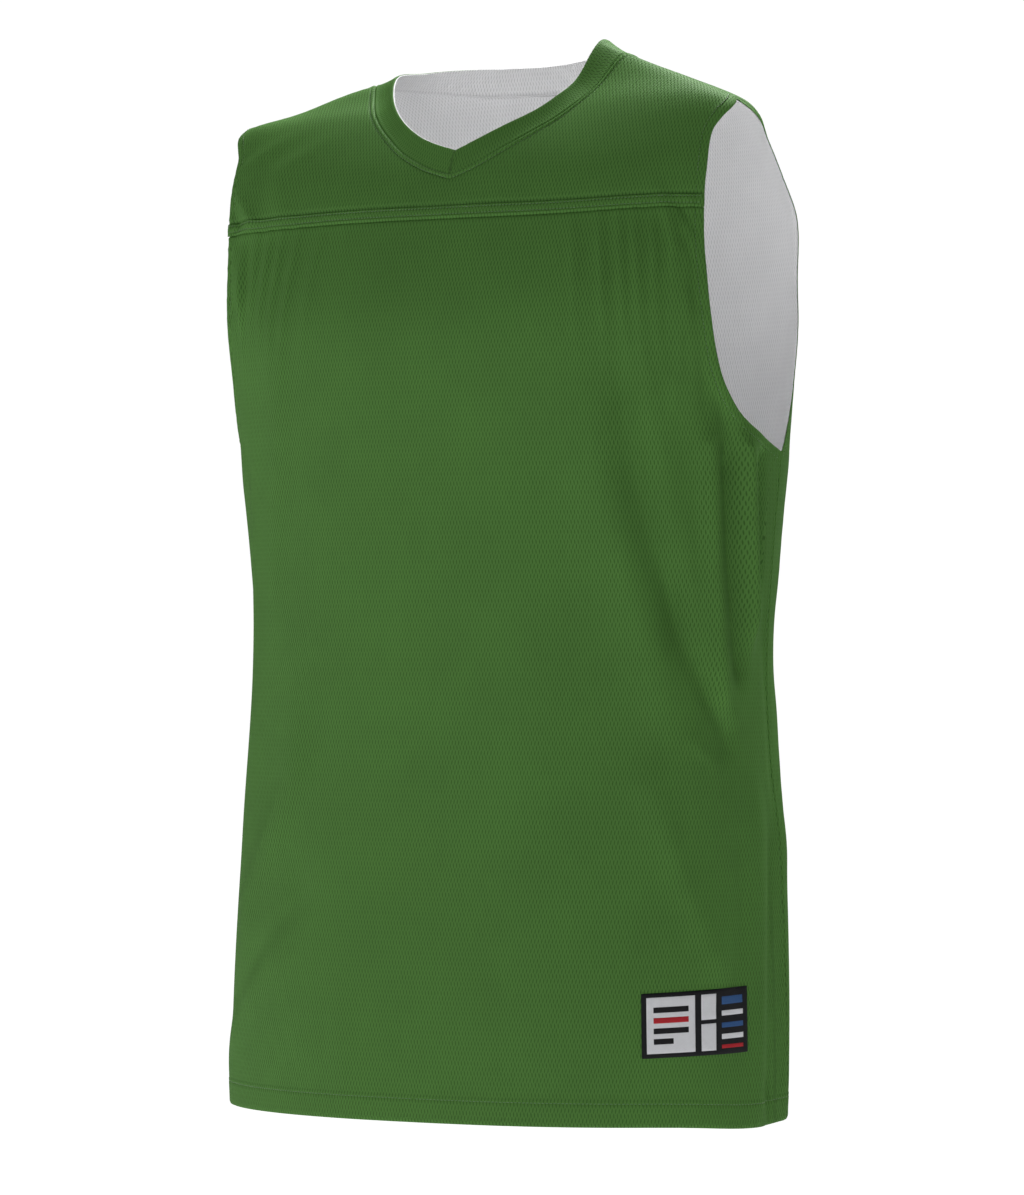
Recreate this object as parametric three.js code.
// A sleeveless basketball jersey in adult large, filled out as if worn, with nobody in it.
// It is made as a reversible jersey is: a green shell of front, yoke, back and neckband,
// a white lining of front, back and neckband inside it, and a woven patch near the hem.
// Millimetres, +Z up. The front faces -Y and the wearer's left side is +X. The origin lies
// midway between the two shoulder points beside the neckband, where the shoulders carry it.
import * as THREE from "three";

// Sizes of the cut
const BODY_LENGTH = 775; // shoulder point to hem
const NECK_HALF = 106; // middle of the neck to the shoulder point
const SHOULDER_HALF = 202; // middle of the neck to the armhole end of the shoulder
const SHOULDER_DROP = 33; // how much lower that end lies
const NECK_DROP = 85; // shoulder point to the point of the V seam
const NECK_DROP_BACK = 13;
const YOKE_DROP = 117.5; // shoulder point to the lower edge of the yoke
const YOKE_SEAM_WIDTH = 9.5; // felled seam with two rows of stitching
const HEM_WIDTH = 18;
const PATCH_WIDTH = 86;
const PATCH_HEIGHT = 46;
const PATCH_PLACE = { round: 214, z: -701 }; // centre: distance round from the middle, height
const PATCH_TURN = 2.5; // degrees, its left end lower
const PATCH_COLUMNS = 10;
const PATCH_ROWS = 5;

// Thicknesses and clearances
const CLOTH = 1.0;
const SEAM_GAP = 0.3;
const LINING_DEPTH_AT_EDGE = CLOTH + 0.5; // shell's face to the lining's face
const LINING_DEPTH = 2.4;
const LINING_EASE = 30; // distance from an edge over which the lining falls away
const YOKE_SEAM_RISE = 0.8;
const HEM_EXTRA = 0.8;
const LINING_SET_BACK = 0.8; // from an open edge of the shell
const LINING_SHORTER = 6; // at the hem
const PATCH_THICKNESS = 0.8;
const PATCH_CLEARANCE = 0.5;

// Level sections of the filled-out form: height, half width, reach to the front and to the
// back from the section's middle, the middle's place in Y, and how square each half is.
const SECTIONS = [
  { z: 0, half: NECK_HALF, front: 9, back: 62, middle: -7, frontPower: 2.8, backPower: 2.3 },
  { z: -16, half: 156, front: 19, back: 76, middle: -11, frontPower: 3.0, backPower: 2.4 },
  { z: -SHOULDER_DROP, half: SHOULDER_HALF, front: 36, back: 88, middle: -13, frontPower: 3.0, backPower: 2.5 },
  { z: -60, half: 213, front: 64, back: 106, middle: -8, frontPower: 2.7, backPower: 2.5 },
  { z: -84, half: 220, front: 84, back: 116, middle: -3, frontPower: 2.5, backPower: 2.5 },
  { z: -YOKE_DROP, half: 227, front: 100, back: 124, middle: 2, frontPower: 2.35, backPower: 2.6 },
  { z: -185, half: 229, front: 122, back: 130, middle: 7, frontPower: 2.4, backPower: 2.6 },
  { z: -240, half: 223, front: 126, back: 129, middle: 8, frontPower: 2.35, backPower: 2.5 },
  { z: -290, half: 216, front: 126, back: 126, middle: 8, frontPower: 2.3, backPower: 2.4 },
  { z: -370, half: 209, front: 126, back: 120, middle: 7, frontPower: 2.25, backPower: 2.3 },
  { z: -450, half: 206, front: 127, back: 118, middle: 6, frontPower: 2.3, backPower: 2.3 },
  { z: -560, half: 213, front: 131, back: 122, middle: 5, frontPower: 2.3, backPower: 2.3 },
  { z: -680, half: 218, front: 141, back: 122, middle: 4, frontPower: 2.3, backPower: 2.3 },
  { z: -BODY_LENGTH, half: 219, front: 146, back: 121, middle: 3, frontPower: 2.3, backPower: 2.3 },
];

// Armhole edge seen from the side, from the underarm to the shoulder: height and Y.
const ARMHOLE_FRONT = [
  { z: -288, y: 25 },
  { z: -281, y: 0 },
  { z: -270, y: -26 },
  { z: -251, y: -45 },
  { z: -228, y: -56 },
  { z: -192, y: -63.5 },
  { z: -156, y: -63.5 },
  { z: -YOKE_DROP, y: -59 },
  { z: -92, y: -55 },
  { z: -66, y: -46 },
  { z: -48, y: -36.5 },
  { z: -SHOULDER_DROP, y: -13 },
];
const ARMHOLE_BACK = [
  { z: -288, y: 25 },
  { z: -283, y: 30 },
  { z: -268, y: 37 },
  { z: -244, y: 50 },
  { z: -218, y: 69 },
  { z: -192, y: 82 },
  { z: -156, y: 85 },
  { z: -YOKE_DROP, y: 69 },
  { z: -80, y: 47 },
  { z: -52, y: 22 },
  { z: -SHOULDER_DROP, y: -13 },
];

// Neckline seam from the front, from the middle out to the shoulder point: X and height.
const NECKLINE_FRONT = [
  { x: 0, z: -NECK_DROP },
  { x: 24, z: -77 },
  { x: 46, z: -66 },
  { x: 61, z: -55 },
  { x: 75, z: -43 },
  { x: 86, z: -31 },
  { x: 95, z: -19 },
  { x: 101, z: -9 },
  { x: NECK_HALF, z: 0 },
];
const NECKLINE_BACK = [
  { x: 0, z: -NECK_DROP_BACK },
  { x: 40, z: -12 },
  { x: 75, z: -8 },
  { x: 97, z: -3 },
  { x: NECK_HALF, z: 0 },
];

// Top edge of the neckband round one half, from the front point to the middle of the back.
const BAND_TOP = [
  { x: 0, y: -80, z: -67 },
  { x: 34, y: -72, z: -54 },
  { x: 60, y: -57, z: -36 },
  { x: 78, y: -36, z: -13 },
  { x: 87, y: -10, z: 8 },
  { x: 80, y: 22, z: 11 },
  { x: 58, y: 43, z: 10 },
  { x: 30, y: 52, z: 8 },
  { x: 0, y: 54, z: 7 },
];


// Large soft folds, each a ridge along a line on the form. An end is given as degrees round
// from the middle of the front, towards the wearer's left, and Z. The fade is how far the
// ridge dies away past its ends.
const FOLDS = [
  { start: [47, -300], end: [68, -500], height: 4, width: 22, fade: 60 },
  { start: [60, -260], end: [74, -440], height: 3.5, width: 16, fade: 50 },
  { start: [72, -290], end: [80, -454], height: 4, width: 12, fade: 40 },
  { start: [82, -300], end: [85, -396], height: 4, width: 12, fade: 50 },
  { start: [61, -534], end: [73, -650], height: 3.5, width: 14, fade: 20 },
  { start: [86, -570], end: [84, -740], height: 3.5, width: 12, fade: 40 },
  { start: [97, -590], end: [95, -740], height: 4, width: 14, fade: 40 },
  { start: [-48, -530], end: [-62, -620], height: 4, width: 18, fade: 60 },
  { start: [-50, -660], end: [-72, -740], height: 2.5, width: 20, fade: 30 },
  { start: [-54, -248], end: [-58, -366], height: 2.5, width: 14, fade: 60 },
  { start: [-75, -64], end: [-66, -108], height: 2, width: 11, fade: 16 },
  { start: [-67, -72], end: [-60, -108], height: 1.6, width: 11, fade: 16 },
  { start: [-80, -310], end: [-85, -420], height: 3.5, width: 14, fade: 50 },
  { start: [-85, -590], end: [-84, -740], height: 3.5, width: 14, fade: 40 },
  { start: [120, -330], end: [112, -480], height: 4.5, width: 22, fade: 60 },
  { start: [-118, -310], end: [-111, -470], height: 4, width: 24, fade: 60 },
  { start: [138, -560], end: [120, -720], height: 4, width: 26, fade: 50 },
  { start: [-132, -570], end: [-116, -700], height: 4, width: 24, fade: 50 },
  { start: [166, -420], end: [150, -560], height: 3, width: 22, fade: 60 },
  { start: [-160, -440], end: [-147, -590], height: 3, width: 24, fade: 60 },
];

// Where the cloth hangs off the even form: at a point, how far it is moved in X and in Z, and
// the reach over which the move dies away. The collar leans, the right armhole stands out,
// the yoke seam climbs to the left and the hem dips at the left side.
const MOVES = [
  { at: [80, 0, 12], reach: 45, x: -5, z: 9 },
  { at: [-80, 0, 12], reach: 45, x: 0, z: -8 },
  { at: [150, -10, -15], reach: 50, x: 0, z: 2 },
  { at: [-150, -10, -15], reach: 50, x: 0, z: -4 },
  { at: [-205, -55, -95], reach: 85, x: -15, z: -4 },
  { at: [175, -70, -117], reach: 70, x: 0, z: 4 },
  { at: [216, -25, -775], reach: 50, x: 0, z: -4 },
  { at: [38, -78, -58], reach: 34, x: 0, z: 5 },
  { at: [78, -36, -8], reach: 20, x: 0, z: -6 },
  { at: [205, -13, -35], reach: 34, x: -5, z: 0 },
  { at: [212, 30, -75], reach: 40, x: -4, z: 0 },
  { at: [222, 62, -215], reach: 55, x: -6.5, z: 0 },
  { at: [-172, -8, -27], reach: 30, x: 0, z: -3 },
  { at: [-208, -5, -52], reach: 36, x: -5, z: 0 },
];

// Ripples let into the front below the yoke, at both armhole ends of the seam.
const GATHER_HEIGHT = 1.6;
const GATHER_LENGTH = 140;
const GATHER_START = 0.35; // share of the height already there at the seam

// Grids of the panels. The outer stretch of a half runs from the line that ends at the
// shoulder point to the armhole or side seam.
const NECK_SHARE = 0.6; // share of half a panel's width inside that line
const NECK_COLUMNS = 8;
const OUTER_COLUMNS = 5;
const GATHER_COLUMNS = 10; // the same at the front, two for each ripple
const BODY_ROWS = 14; // hem to underarm
const LINING_BODY_ROWS = 6;
const TOP_ROWS = 6; // yoke to neckline and shoulder
const BAND_ROWS = 3;
const SHOULDER_LINE_BEND = { x: 150, rise: -72 }; // draws that line out sideways on its way up
const SLOPE = 0.8; // width of the slope beside a doubled stretch of cloth

const mix = (a, b, t) => a + (b - a) * t;
const eased = (t) => THREE.MathUtils.smoothstep(t, 0, 1);
const steps = (count) => Array.from({ length: count + 1 }, (_, k) => k / count);
const towards = { front: 1, back: -1 };

// Reads one column of a table at height z. The curve through the rows takes its slope at
// each row from the rows on both sides of it.
function readTable(rows, column, z) {
  const falling = rows[0].z > rows[rows.length - 1].z;
  const passed = rows.filter((row) => (falling ? row.z >= z : row.z <= z)).length;
  const i = THREE.MathUtils.clamp(passed - 1, 0, rows.length - 2);
  const slope = (k) => {
    const before = rows[Math.max(k - 1, 0)];
    const after = rows[Math.min(k + 1, rows.length - 1)];
    return (after[column] - before[column]) / (after.z - before.z);
  };
  const span = rows[i + 1].z - rows[i].z;
  const t = THREE.MathUtils.clamp((z - rows[i].z) / span, 0, 1);
  const change = rows[i + 1][column] - rows[i][column];
  const startBend = slope(i) * span - change;
  const endBend = change - slope(i + 1) * span;
  return rows[i][column] + t * change + t * (1 - t) * ((1 - t) * startBend + t * endBend);
}

// The level section of the form at height z.
function sectionAt(z) {
  const read = (column) => readTable(SECTIONS, column, z);
  return {
    half: read("half"),
    middle: read("middle"),
    front: { reach: read("front"), power: read("frontPower") },
    back: { reach: read("back"), power: read("backPower") },
  };
}

// A place on the form is an angle round from the middle of the front and a height.
// This is the point there.
function formPoint({ angle, z }) {
  const section = sectionAt(z);
  const forward = Math.cos(angle);
  const sideways = Math.sin(angle);
  const { reach, power } = forward >= 0 ? section.front : section.back;
  const sum = Math.abs(sideways / section.half) ** power + Math.abs(forward / reach) ** power;
  const radius = sum ** (-1 / power);
  return new THREE.Vector3(radius * sideways, section.middle - radius * forward, z);
}

// Outward normal of a surface that gives a point for each place.
function normalOf(surface, { angle, z }) {
  const turn = 0.01;
  const high = Math.min(z + 0.5, 0);
  const low = high - 1;
  const across = surface({ angle: angle + turn, z }).sub(surface({ angle: angle - turn, z }));
  const up = surface({ angle, z: high }).sub(surface({ angle, z: low }));
  return across.cross(up).normalize();
}

// The place at height z where one face has this X.
function placeAtX(x, z, face) {
  const section = sectionAt(z);
  const { reach, power } = section[face];
  const share = Math.min(Math.abs(x) / section.half, 1);
  const forward = reach * (1 - share ** power) ** (1 / power) * towards[face];
  return { angle: Math.atan2(x, forward), z };
}

// The place at height z where the wearer's left side has this Y.
function placeAtY(y, z) {
  const section = sectionAt(z);
  const forward = section.middle - y;
  const { reach, power } = forward >= 0 ? section.front : section.back;
  const share = Math.min(Math.abs(forward) / reach, 1);
  return { angle: Math.atan2(section.half * (1 - share ** power) ** (1 / power), forward), z };
}

// Height at which the top of the shoulder has this X.
function shoulderHeight(x) {
  let low = -SHOULDER_DROP;
  let high = 0;
  for (let k = 0; k < 40; k++) {
    const z = (low + high) / 2;
    if (sectionAt(z).half > Math.abs(x)) low = z;
    else high = z;
  }
  return high;
}

// Seen from 45 degrees above, the whole upper part of a face shows. There a place is told
// by its X and its rise, which is Z plus how far back it lies.
function seenFromAbove(place, face) {
  const point = formPoint(place);
  return { x: point.x, rise: point.z + towards[face] * point.y };
}

function placeAtRise(x, rise, face) {
  let low = -2 * YOKE_DROP;
  let high = shoulderHeight(x);
  for (let k = 0; k < 40; k++) {
    const z = (low + high) / 2;
    if (seenFromAbove(placeAtX(x, z, face), face).rise < rise) low = z;
    else high = z;
  }
  return placeAtX(x, high, face);
}

// Measures a path of places along the form, and reads it at any share of its length.
function measured(path) {
  const points = path.map(formPoint);
  const lengths = [0];
  for (let k = 1; k < points.length; k++) {
    lengths.push(lengths[k - 1] + points[k].distanceTo(points[k - 1]));
  }
  const total = lengths[lengths.length - 1];
  const at = (share) => {
    const wanted = THREE.MathUtils.clamp(share, 0, 1) * total;
    const reached = lengths.findIndex((length) => length >= wanted - 1e-9);
    const k = Math.max(reached, 1);
    const t = (wanted - lengths[k - 1]) / Math.max(lengths[k] - lengths[k - 1], 1e-9);
    const [from, to] = [path[k - 1], path[k]];
    return { angle: mix(from.angle, to.angle, t), z: mix(from.z, to.z, t) };
  };
  return { total, at };
}

// The edges of the panels on the wearer's left half of one face.
const ARMHOLES = { front: ARMHOLE_FRONT, back: ARMHOLE_BACK };
const NECKLINES = { front: NECKLINE_FRONT, back: NECKLINE_BACK };
const UNDERARM = ARMHOLE_FRONT[0];
const SIDE_SEAM = placeAtY(UNDERARM.y, UNDERARM.z).angle;

function sideEdge(z, face) {
  if (z <= UNDERARM.z) return { angle: SIDE_SEAM, z };
  return placeAtY(readTable(ARMHOLES[face], "y", z), z);
}

function levelLine(z, face) {
  const middle = face === "front" ? 0 : Math.PI;
  const edge = sideEdge(z, face).angle;
  return measured(steps(60).map((t) => ({ angle: mix(middle, edge, t), z })));
}

function neckline(face) {
  const drawn = new THREE.SplineCurve(NECKLINES[face].map(({ x, z }) => new THREE.Vector2(x, z)));
  return measured(drawn.getPoints(80).map(({ x, y }) => placeAtX(x, Math.min(y, 0), face)));
}

function shoulderSeam() {
  const path = steps(40).map((t) => {
    const x = mix(NECK_HALF, SHOULDER_HALF, t);
    return { angle: Math.PI / 2, z: shoulderHeight(x) };
  });
  return measured(path);
}

function upperArmhole(face) {
  const path = steps(30).map((t) => sideEdge(mix(-YOKE_DROP, -SHOULDER_DROP, t), face));
  return measured(path);
}

// The grid line that ends at the shoulder point, bowed sideways so that it leaves the
// corner there between neckline and shoulder.
function shoulderLine(start, end, face) {
  const from = seenFromAbove(start, face);
  const to = seenFromAbove(end, face);
  const path = steps(30).map((t) => {
    const bend = (name) => {
      const first = mix(from[name], SHOULDER_LINE_BEND[name], t);
      const second = mix(SHOULDER_LINE_BEND[name], to[name], t);
      return mix(first, second, t);
    };
    return placeAtRise(bend("x"), bend("rise"), face);
  });
  return measured(path);
}

// Grid lines that fill the stretch between four edges, each read by its share of length.
function fillBetween({ bottom, top, left, right }, count, face) {
  const seen = (line, share) => seenFromAbove(line(share), face);
  return steps(count).map((u) => {
    const path = steps(30).map((v) => {
      const blend = (name) => {
        const sides = mix(seen(left, v)[name], seen(right, v)[name], u);
        const ends = mix(seen(bottom, u)[name], seen(top, u)[name], v);
        const low = mix(seen(bottom, 0)[name], seen(bottom, 1)[name], u);
        const high = mix(seen(top, 0)[name], seen(top, 1)[name], u);
        return sides + ends - mix(low, high, v);
      };
      return placeAtRise(blend("x"), blend("rise"), face);
    });
    return measured(path);
  });
}

// All grid lines from the level of the yoke seam up to the neckline and shoulder.
function upperLines(face, outerColumns) {
  const seam = levelLine(-YOKE_DROP, face);
  const neck = neckline(face);
  const shoulder = shoulderSeam();
  const toCorner = shoulderLine(seam.at(NECK_SHARE), neck.at(1), face);
  const middle = measured(steps(10).map((t) => ({
    angle: seam.at(0).angle,
    z: mix(-YOKE_DROP, neck.at(0).z, t),
  })));
  const inner = {
    bottom: (u) => seam.at(u * NECK_SHARE),
    top: neck.at,
    left: middle.at,
    right: toCorner.at,
  };
  const outer = {
    bottom: (u) => seam.at(mix(NECK_SHARE, 1, u)),
    top: shoulder.at,
    left: toCorner.at,
    right: upperArmhole(face).at,
  };
  const innerLines = fillBetween(inner, NECK_COLUMNS, face);
  return [...innerLines, ...fillBetween(outer, outerColumns, face).slice(1)];
}

const columnShares = (outerColumns) => [
  ...steps(NECK_COLUMNS).map((u) => u * NECK_SHARE),
  ...steps(outerColumns).slice(1).map((u) => mix(NECK_SHARE, 1, u)),
];

// Completes a row of places on the wearer's left with its mirror image on the right. Seen
// from outside, it runs from left to right.
function fullWidth(row) {
  const mirrored = row.slice(1).reverse().map(({ angle, z }) => ({ angle: -angle, z }));
  const whole = [...mirrored, ...row];
  return row[0].angle === 0 ? whole : whole.reverse();
}

// Rows of a panel from the given bottom to the yoke seam.
function bodyRows(face, bottom, count, outerColumns) {
  const shares = columnShares(outerColumns);
  const lower = steps(count).map((t) => mix(bottom, UNDERARM.z, t));
  const hem = [bottom + HEM_WIDTH, bottom + HEM_WIDTH + SLOPE];
  const beside = ARMHOLES[face].map(({ z }) => z).filter((z) => z > UNDERARM.z && z <= -YOKE_DROP);
  const heights = [lower[0], ...hem, ...lower.slice(1), ...beside];
  return heights.map((z) => {
    const line = levelLine(z, face);
    return fullWidth(shares.map(line.at));
  });
}

// Rows of a panel from the yoke seam upwards, with the first of them at given distances.
function upperRows(face, distances, outerColumns) {
  const lines = upperLines(face, outerColumns);
  const first = distances[distances.length - 1];
  const rows = [];
  for (const distance of distances) rows.push(lines.map((line) => line.at(distance / line.total)));
  for (const t of steps(TOP_ROWS).slice(1)) {
    rows.push(lines.map((line) => line.at(mix(first / line.total, 1, t))));
  }
  return rows.map(fullWidth);
}

// Draws the edges of a grid back from the seams that run there.
function drawBack(rows, { bottom = 0, top = 0, sides = () => 0 }) {
  const closer = (place, next, distance) => {
    const t = distance / formPoint(place).distanceTo(formPoint(next));
    return { angle: mix(place.angle, next.angle, t), z: mix(place.z, next.z, t) };
  };
  const last = rows.length - 1;
  const level = rows.map((row, r) => {
    if (r === 0) return row.map((place, c) => closer(place, rows[1][c], bottom));
    if (r === last) return row.map((place, c) => closer(place, rows[last - 1][c], top));
    return row;
  });
  return level.map((row) => {
    const end = row.length - 1;
    const distance = sides(row[0].z);
    return row.map((place, c) => {
      if (c === 0) return closer(place, row[1], distance);
      if (c === end) return closer(place, row[end - 1], distance);
      return place;
    });
  });
}

// How far the folds lift the shell off the form.
function foldLift(place) {
  const here = formPoint(place);
  let lift = 0;
  for (const { start, end, height, width, fade } of FOLDS) {
    const t = THREE.MathUtils.clamp((place.z - start[1]) / (end[1] - start[1]), 0, 1);
    const angle = THREE.MathUtils.degToRad(mix(start[0], end[0], t));
    const across = here.distanceTo(formPoint({ angle, z: place.z })) / width;
    const past = (place.z - mix(start[1], end[1], t)) / fade;
    lift += height * Math.exp(-(across ** 2) - past ** 2);
  }
  return lift;
}

function foldedForm(place) {
  return formPoint(place).addScaledVector(normalOf(formPoint, place), foldLift(place));
}

// Points and normals of a grid of places on a surface.
const laidOn = (surface, rows) =>
  rows.map((row) => row.map((place) => ({ point: surface(place), normal: normalOf(surface, place) })));

function moved(point) {
  const place = point.clone();
  for (const { at, reach, x, z } of MOVES) {
    const near = Math.exp(-((point.distanceTo(new THREE.Vector3(...at)) / reach) ** 2));
    place.x += x * near;
    place.z += z * near;
  }
  return place;
}

// A sheet of cloth over a grid of points and normals. Its outer and inner faces lie at the
// given distances outside the points. A ring joins its last column to its first.
function cloth(cells, outer, inner, ring = false) {
  const height = cells.length;
  const width = cells[0].length;
  const positions = [];
  for (const distance of [outer, inner]) {
    cells.forEach((row, r) => row.forEach(({ point, normal }, c) => {
      positions.push(...moved(point.clone().addScaledVector(normal, distance(r, c))).toArray());
    }));
  }
  const outside = (r, c) => r * width + (c % width);
  const inside = (r, c) => outside(r, c) + height * width;
  const triangles = [];
  const face = (a, b, c, d) => triangles.push(a, b, c, a, c, d);
  const spans = ring ? width : width - 1;
  const at = (r, c) => cells[r][c % width].point;
  for (let r = 0; r < height - 1; r++) {
    for (let c = 0; c < spans; c++) {
      // A skewed mesh of the grid is split along its shorter diagonal, to follow the form.
      const rise = at(r, c).distanceTo(at(r + 1, c + 1));
      const fall = at(r, c + 1).distanceTo(at(r + 1, c));
      const rising = rise <= 1.15 * fall;
      const corners = [[r, c], [r, c + 1], [r + 1, c + 1], [r + 1, c]];
      const turned = rising ? corners : [...corners.slice(1), corners[0]];
      face(...turned.map((corner) => outside(...corner)));
      const reversed = [turned[0], turned[3], turned[2], turned[1]];
      face(...reversed.map((corner) => inside(...corner)));
    }
  }
  for (let c = 0; c < spans; c++) {
    face(outside(0, c), inside(0, c), inside(0, c + 1), outside(0, c + 1));
    face(outside(height - 1, c), outside(height - 1, c + 1), inside(height - 1, c + 1), inside(height - 1, c));
  }
  if (!ring) {
    for (let r = 0; r < height - 1; r++) {
      face(outside(r, 0), outside(r + 1, 0), inside(r + 1, 0), inside(r, 0));
      face(outside(r, width - 1), inside(r, width - 1), inside(r + 1, width - 1), outside(r + 1, width - 1));
    }
  }
  const geometry = new THREE.BufferGeometry();
  geometry.setAttribute("position", new THREE.Float32BufferAttribute(positions, 3));
  geometry.setIndex(triangles);
  geometry.computeVertexNormals();
  return geometry;
}

const HALF_GAP = SEAM_GAP / 2 + 0.02;
const alongSideSeam = (z) => (z <= UNDERARM.z + 1 ? HALF_GAP : 0);

// The front below the yoke: hem turned up inside, ripples under the yoke.
function frontBody() {
  const rows = bodyRows("front", -BODY_LENGTH, BODY_ROWS, GATHER_COLUMNS);
  const drawn = drawBack(rows, { top: HALF_GAP, sides: alongSideSeam });
  const cells = laidOn(foldedForm, drawn);
  const middle = NECK_COLUMNS + GATHER_COLUMNS;
  const ripple = (r, c) => {
    const outward = Math.abs(c - middle) - NECK_COLUMNS;
    if (outward <= 0 || outward % 2 === 0) return 0;
    const below = -YOKE_DROP - drawn[r][c].z;
    const grown = mix(GATHER_START, 1, eased(below / 30));
    return GATHER_HEIGHT * grown * (1 - eased((below - 20) / (GATHER_LENGTH - 20)));
  };
  const hem = (r) => (r < 2 ? HEM_EXTRA : 0);
  return cloth(cells, ripple, (r, c) => ripple(r, c) - CLOTH - hem(r));
}

// The yoke: its lower edge is the raised seam over the front.
function frontYoke() {
  const rows = upperRows("front", [0, YOKE_SEAM_WIDTH, YOKE_SEAM_WIDTH + SLOPE], GATHER_COLUMNS);
  const drawn = drawBack(rows, { bottom: HALF_GAP, top: HALF_GAP });
  const raised = (r) => (r < 2 ? YOKE_SEAM_RISE : 0);
  return cloth(laidOn(foldedForm, drawn), raised, () => -CLOTH);
}

function wholePanel(face, bottom, bodyCount) {
  const outerColumns = face === "front" ? GATHER_COLUMNS : OUTER_COLUMNS;
  const lower = bodyRows(face, bottom, bodyCount, outerColumns);
  const upper = upperRows(face, [0], outerColumns);
  return [...lower, ...upper.slice(1)];
}

function back() {
  const drawn = drawBack(wholePanel("back", -BODY_LENGTH, BODY_ROWS), {
    top: HALF_GAP,
    sides: alongSideSeam,
  });
  const hem = (r) => (r < 2 ? HEM_EXTRA : 0);
  return cloth(laidOn(foldedForm, drawn), () => 0, (r) => -CLOTH - hem(r));
}

// Points along the open edges, for telling how far a point lies from them.
const EDGE_POINTS = ["front", "back"].flatMap((face) => {
  const armhole = steps(40).map((t) => sideEdge(mix(UNDERARM.z, -SHOULDER_DROP, t), face));
  const neck = neckline(face);
  const places = [...armhole, ...steps(30).map(neck.at)];
  return places.map(formPoint);
});

// A lining panel lies close under the shell at the open edges and deeper elsewhere.
function lining(face) {
  const bottom = -BODY_LENGTH + LINING_SHORTER;
  const drawn = drawBack(wholePanel(face, bottom, LINING_BODY_ROWS), {
    top: HALF_GAP,
    sides: (z) => alongSideSeam(z) || LINING_SET_BACK,
  });
  const cells = laidOn(formPoint, drawn);
  const depth = (r, c) => {
    const { x, y, z } = cells[r][c].point;
    const left = new THREE.Vector3(Math.abs(x), y, z);
    const distance = Math.min(...EDGE_POINTS.map((edge) => edge.distanceTo(left)));
    return -mix(LINING_DEPTH_AT_EDGE, LINING_DEPTH, eased(distance / LINING_EASE));
  };
  return cloth(cells, depth, (r, c) => depth(r, c) - CLOTH);
}

// The neckband stands on the neckline: it leaves the form along its surface and bends up
// to its top edge. The columns run from the point of the V to the middle of the back, and
// round the other half.
function neckband(firstShare, lastShare, outer, inner) {
  const front = neckline("front");
  const rear = neckline("back");
  const places = [
    ...steps(NECK_COLUMNS).map(front.at),
    ...steps(NECK_COLUMNS).slice(0, -1).reverse().map(rear.at),
  ];
  const edge = new THREE.CatmullRomCurve3(BAND_TOP.map(({ x, y, z }) => new THREE.Vector3(x, y, z)));
  const half = places.map((place, k) => ({
    seam: formPoint(place),
    normal: normalOf(formPoint, place),
    top: edge.getPoint(k / (places.length - 1)),
  }));
  const flip = (v) => new THREE.Vector3(-v.x, v.y, v.z);
  const mirrored = half.slice(1, -1).reverse().map(({ seam, normal, top }) => ({
    seam: flip(seam),
    normal: flip(normal),
    top: flip(top),
  }));
  const ring = [...half, ...mirrored];
  const beside = (list, k, step) => list[(k + step + list.length) % list.length];

  const profiles = ring.map(({ seam, normal, top }, k) => {
    const along = beside(ring, k, 1).seam.clone().sub(beside(ring, k, -1).seam);
    const out = along.cross(normal).normalize();
    const width = top.distanceTo(seam);
    if (out.dot(top.clone().sub(seam)) < 0) out.negate();
    const bend = seam.clone().addScaledVector(out, width / 2);
    return { curve: new THREE.QuadraticBezierCurve3(seam, bend, top), normal, width };
  });
  const cells = steps(BAND_ROWS).map((share) => {
    const places = profiles.map(({ curve, width, normal }) => {
      const t = mix(firstShare / width, 1 - lastShare / width, share);
      return { point: curve.getPoint(t), across: curve.getTangent(t), seamNormal: normal };
    });
    return places.map(({ point, across, seamNormal }, k) => {
      const along = beside(places, k, 1).point.clone().sub(beside(places, k, -1).point);
      const normal = along.cross(across).normalize();
      if (normal.dot(seamNormal) < 0) normal.negate();
      return { point, normal };
    });
  });
  return cloth(cells, () => outer, () => inner, true);
}

// The woven patch lies on the front near the hem, a little turned.
function sizePatch() {
  const tilt = THREE.MathUtils.degToRad(PATCH_TURN);
  const rows = steps(PATCH_ROWS).map((v) => steps(PATCH_COLUMNS).map((u) => {
    const right = (u - 0.5) * PATCH_WIDTH;
    const up = (v - 0.5) * PATCH_HEIGHT;
    const z = PATCH_PLACE.z + up * Math.cos(tilt) + right * Math.sin(tilt);
    const line = levelLine(z, "front");
    const round = PATCH_PLACE.round + right * Math.cos(tilt) - up * Math.sin(tilt);
    return line.at(round / line.total);
  }));
  const low = PATCH_CLEARANCE;
  return cloth(laidOn(foldedForm, rows), () => low + PATCH_THICKNESS, () => low);
}

const green = new THREE.MeshStandardMaterial({ name: "green_mesh_cloth", color: "#3f6434", roughness: 0.85 });
const white = new THREE.MeshStandardMaterial({ name: "white_mesh_cloth", color: "#b9babb", roughness: 0.85 });
const black = new THREE.MeshStandardMaterial({ name: "woven_patch", color: "#232326", roughness: 0.7 });

const jersey = new THREE.Group();
jersey.name = "basketball_jersey";

function add(name, geometry, material) {
  const mesh = new THREE.Mesh(geometry, material);
  mesh.name = name;
  jersey.add(mesh);
}

add("front_body", frontBody(), green);
add("front_yoke", frontYoke(), green);
add("back", back(), green);
add("neckband", neckband(HALF_GAP, 0, 0, -CLOTH), green);
add("lining_front", lining("front"), white);
add("lining_back", lining("back"), white);
add(
  "lining_neckband",
  neckband(HALF_GAP, LINING_SET_BACK, -LINING_DEPTH_AT_EDGE, -LINING_DEPTH_AT_EDGE - CLOTH),
  white,
);
add("size_patch", sizePatch(), black);

export default jersey;
